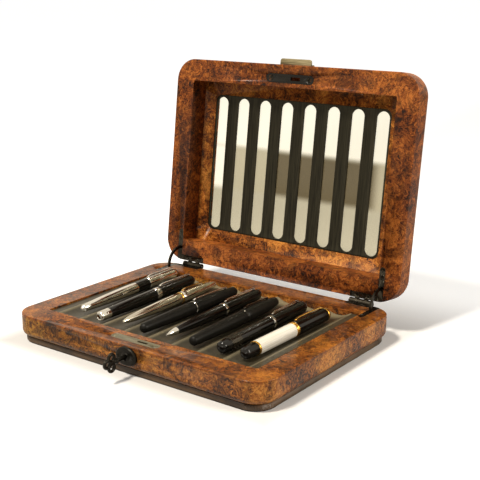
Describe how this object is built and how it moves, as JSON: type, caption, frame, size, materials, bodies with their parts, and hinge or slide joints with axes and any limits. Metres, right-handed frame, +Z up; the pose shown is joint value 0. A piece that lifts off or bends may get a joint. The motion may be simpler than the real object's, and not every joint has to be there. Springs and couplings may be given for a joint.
{
  "type": "pen collector chest",
  "caption": "Shallow burl wood pen chest with a grooved tray of pens, a hinged lid with a slotted glass window, arc stay hinges and a key lock.",
  "frame": {"origin": "middle of the underside of the baize pad, on the surface the chest stands on", "axes": "+Z up, +X to the right across the front, the lock's front face towards -Y, lid hinged at the back"},
  "size_m": [0.28, 0.2958, 0.2462],
  "materials": {
    "burl": "glossy lacquered burl",
    "plinth_wood": "dark stained wood",
    "baize": "felted cloth",
    "tray_leather": "smooth dark covering",
    "slotted_black": "brushed black",
    "window": "slightly frosted",
    "hinge_metal": "black nickel",
    "lock_nickel": "satin nickel",
    "strike_black": "blackened",
    "key_iron": "black bronze",
    "pull_metal": "brushed",
    "pen_chrome": "polished",
    "pen_silver": "pearl silver",
    "pen_gloss_black": "gloss",
    "pen_matt_black": "matt",
    "pen_ivory": "gloss",
    "pen_gold": "polished gold plate"
  },
  "bodies": {
    "base": {"base_frame": "burl", "plinth_board": "plinth_wood", "baize_pad": "baize", "compartment_floor": "plinth_wood", "pen_tray": "tray_leather", "base_hinge_leaf_left": "hinge_metal", "base_hinge_leaf_right": "hinge_metal", "hinge_pins": "hinge_metal", "base_hinge_screws": "hinge_metal", "lock_case": "lock_nickel", "lock_face_plate": "lock_nickel", "lock_screws": "lock_nickel", "escutcheon": "key_iron", "escutcheon_pins": "key_iron"},
    "lid": {"lid_frame": "burl", "lid_panel": "burl", "slotted_plate": "slotted_black", "window_glass": "window", "lid_hinge_leaf_left": "hinge_metal", "lid_hinge_leaf_right": "hinge_metal", "lid_hinge_screws": "hinge_metal", "strike_plate": "strike_black", "strike_screws": "strike_black", "pull_tab": "pull_metal", "pull_screws": "pull_metal"},
    "stay_left": {"arc_stay_left": "hinge_metal"},
    "stay_right": {"arc_stay_right": "hinge_metal"},
    "lock_barrel": {"lock_follower": "lock_nickel", "hook_bolt": "lock_nickel"},
    "key": {"key": "key_iron"},
    "pen_1": {"pen_1_barrel": "pen_chrome", "pen_1_cap": "pen_chrome", "pen_1_trim": "pen_gloss_black"},
    "pen_2": {"pen_2_barrel": "pen_gloss_black", "pen_2_cap": "pen_gloss_black", "pen_2_trim": "pen_chrome"},
    "pen_3": {"pen_3_barrel": "pen_silver", "pen_3_cap": "pen_silver", "pen_3_trim": "pen_gold"},
    "pen_4": {"pen_4_barrel": "pen_matt_black", "pen_4_cap": "pen_matt_black", "pen_4_trim": "pen_chrome"},
    "pen_5": {"pen_5_barrel": "pen_gloss_black", "pen_5_cap": "pen_gloss_black", "pen_5_trim": "pen_chrome"},
    "pen_6": {"pen_6_barrel": "pen_matt_black", "pen_6_cap": "pen_matt_black", "pen_6_trim": "pen_chrome"},
    "pen_7": {"pen_7_barrel": "pen_gloss_black", "pen_7_cap": "pen_gloss_black", "pen_7_trim": "pen_chrome"},
    "pen_8": {"pen_8_knob": "pen_gloss_black", "pen_8_barrel": "pen_ivory", "pen_8_cap": "pen_gloss_black", "pen_8_trim": "pen_gold"}
  },
  "joints": [
    {"name": "lid_hinge", "type": "hinge", "parent": "base", "child": "lid", "pos_m": [0, 0.1096, 0.0272], "axis": [-1, 0, 0], "range_deg": [-97, 0]},
    {"name": "stay_left_swing", "type": "hinge", "parent": "base", "child": "stay_left", "pos_m": [-0.12115, 0.1096, 0.0272], "axis": [-1, 0, 0], "range_deg": [-48.5, 0]},
    {"name": "stay_right_swing", "type": "hinge", "parent": "base", "child": "stay_right", "pos_m": [0.12115, 0.1096, 0.0272], "axis": [-1, 0, 0], "range_deg": [-48.5, 0]},
    {"name": "key_turn", "type": "hinge", "parent": "base", "child": "lock_barrel", "pos_m": [0.0025, -0.0926, 0.018], "axis": [0, 1, 0], "range_deg": [-90, 0]},
    {"name": "key_withdraw", "type": "slide", "parent": "lock_barrel", "child": "key", "axis": [0, -1, 0], "range_m": [0, 0.024]},
    {"name": "pen_1_lift", "type": "slide", "parent": "base", "child": "pen_1", "axis": [0, 0, 1], "range_m": [0, 0.045]},
    {"name": "pen_2_lift", "type": "slide", "parent": "base", "child": "pen_2", "axis": [0, 0, 1], "range_m": [0, 0.045]},
    {"name": "pen_3_lift", "type": "slide", "parent": "base", "child": "pen_3", "axis": [0, 0, 1], "range_m": [0, 0.045]},
    {"name": "pen_4_lift", "type": "slide", "parent": "base", "child": "pen_4", "axis": [0, 0, 1], "range_m": [0, 0.045]},
    {"name": "pen_5_lift", "type": "slide", "parent": "base", "child": "pen_5", "axis": [0, 0, 1], "range_m": [0, 0.045]},
    {"name": "pen_6_lift", "type": "slide", "parent": "base", "child": "pen_6", "axis": [0, 0, 1], "range_m": [0, 0.045]},
    {"name": "pen_7_lift", "type": "slide", "parent": "base", "child": "pen_7", "axis": [0, 0, 1], "range_m": [0, 0.045]},
    {"name": "pen_8_lift", "type": "slide", "parent": "base", "child": "pen_8", "axis": [0, 0, 1], "range_m": [0, 0.045]}
  ],
  "couplings": [
    {"joint": "stay_left_swing", "follows": "lid_hinge", "ratio": 0.5},
    {"joint": "stay_right_swing", "follows": "lid_hinge", "ratio": 0.5}
  ]
}
